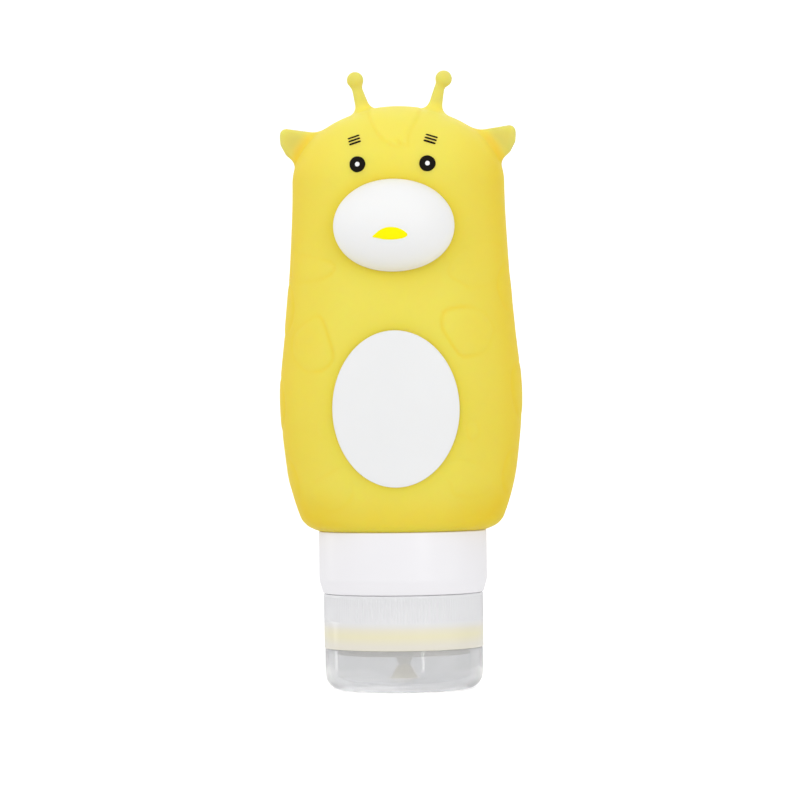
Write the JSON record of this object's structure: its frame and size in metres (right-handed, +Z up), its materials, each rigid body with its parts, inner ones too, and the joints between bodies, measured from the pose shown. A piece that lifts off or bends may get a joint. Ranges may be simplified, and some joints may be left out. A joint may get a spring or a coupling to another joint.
{
  "type": "travel squeeze bottle",
  "caption": "Travel squeeze bottle of soft yellow silicone in the form of a giraffe, standing on its cap, with a white collar, a translucent screw cap and a flip lid.",
  "frame": {"origin": "middle of the flip lid's flat end, on which the bottle stands", "axes": "+Z up from the lid to the horns, -Y out of the face, +X to the right seen from the front"},
  "size_m": [0.0528, 0.0476, 0.1347],
  "materials": {
    "silicone_yellow": "matt translucent silicone",
    "silicone_white": "matt silicone",
    "mouth_yellow": "matt silicone",
    "ink_black": "printed ink",
    "ink_white": "printed ink",
    "collar_white": "satin moulded plastic",
    "cap_frosted": "milky moulded plastic",
    "lid_clear": "clear moulded plastic",
    "valve_silicone": "clear silicone"
  },
  "bodies": {
    "bottle": {"bottle_body": "silicone_yellow", "ear_left": "silicone_yellow", "ear_right": "silicone_yellow", "horn_left": "silicone_yellow", "horn_right": "silicone_yellow", "muzzle": "silicone_white", "mouth": "mouth_yellow", "belly_panel": "silicone_white", "eye_left": "ink_black", "eye_right": "ink_black", "eye_glint_left": "ink_white", "eye_glint_right": "ink_white", "brow_left": "ink_black", "brow_right": "ink_black", "collar": "collar_white"},
    "valve": {"valve": "valve_silicone"},
    "cap": {"cap_base": "cap_frosted", "valve_retainer": "cap_frosted"},
    "lid": {"flip_lid": "lid_clear"}
  },
  "joints": [
    {"name": "cap_lift", "type": "slide", "parent": "bottle", "child": "valve", "axis": [0, 0, -1], "range_m": [0, 0.0057]},
    {"name": "cap_turn", "type": "hinge", "parent": "valve", "child": "cap", "pos_m": [0, 0, 0], "axis": [0, 0, -1], "range_deg": [0, 541]},
    {"name": "lid_flip", "type": "hinge", "parent": "cap", "child": "lid", "pos_m": [0, 0.01955, 0.00905], "axis": [1, 0, 0], "range_deg": [0, 135]}
  ],
  "couplings": [
    {"joint": "cap_turn", "follows": "cap_lift", "rad_per_m": 1653.5}
  ]
}
